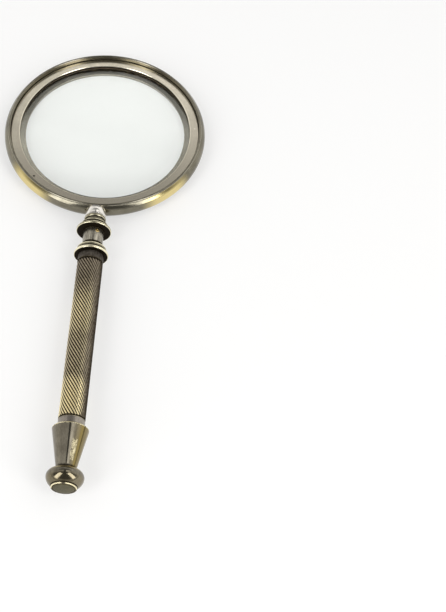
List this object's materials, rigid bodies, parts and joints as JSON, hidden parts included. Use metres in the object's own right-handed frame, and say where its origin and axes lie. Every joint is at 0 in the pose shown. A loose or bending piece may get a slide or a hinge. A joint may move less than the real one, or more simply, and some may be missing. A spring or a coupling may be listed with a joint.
{
  "type": "hand lens",
  "caption": "Hand magnifier: a turned brass frame ring with a screwed-in retaining ring round a double-convex glass, on a straight fluted brass handle with collars and a conical pommel.",
  "frame": {"origin": "on the optical axis, at the underside of the frame ring", "axes": "+Z along the optical axis, up through the retaining ring; -Y along the handle; +X to the right with the handle towards the viewer"},
  "size_m": [0.0864, 0.2122, 0.0145],
  "materials": {
    "frame_brass": "aged brass with a grey-brown patina, polished on the edges",
    "retainer_brass": "satin aged brass",
    "boss_brass": "rubbed bright, almost silvery",
    "neck_brass": "aged brass, polished on the rims and dark in the hollows",
    "spool_brass": "dark patina with fine streaks",
    "pin_brass": "polished",
    "ferrule_brass": "grey-brown patina",
    "grip_brass": "polished ridges and dark flutes",
    "rod_brass": "bare machined brass",
    "pommel_brass": "aged brass with a grey-brown patina",
    "button_brass": "dark olive patina",
    "lens_glass": "clear polished glass",
    "packing_card": "brown fibre card"
  },
  "bodies": {
    "head": {"frame_ring": "frame_brass", "neck_boss": "boss_brass", "lens": "lens_glass"},
    "packing": {"lens_packing": "packing_card"},
    "retainer": {"retaining_ring": "retainer_brass"},
    "washer": {"neck_washer": "neck_brass"},
    "handle": {"upper_collar": "neck_brass", "neck_spool": "spool_brass", "cross_pin": "pin_brass", "lower_collar": "neck_brass", "upper_ferrule": "ferrule_brass", "grip": "grip_brass", "lower_ferrule": "ferrule_brass", "tie_rod": "rod_brass", "pommel_cone": "pommel_brass", "pommel_knob": "pommel_brass", "end_button": "button_brass"}
  },
  "joints": [
    {"name": "handle_travel", "type": "slide", "parent": "head", "child": "washer", "axis": [0, -1, 0], "range_m": [0, 0.0049]},
    {"name": "handle_unscrew", "type": "hinge", "parent": "washer", "child": "handle", "pos_m": [0, -0.0458, 0.00368], "axis": [0, -1, 0], "range_deg": [0, 2521]},
    {"name": "retainer_travel", "type": "slide", "parent": "head", "child": "packing", "axis": [0, 0, 1], "range_m": [0, 0.003]},
    {"name": "retainer_unscrew", "type": "hinge", "parent": "packing", "child": "retainer", "pos_m": [0, 0, 0.00427], "axis": [0, 0, 1], "range_deg": [0, 1441]}
  ],
  "couplings": [
    {"joint": "handle_unscrew", "follows": "handle_travel", "rad_per_m": 8976},
    {"joint": "retainer_unscrew", "follows": "retainer_travel", "rad_per_m": 8377.6}
  ]
}
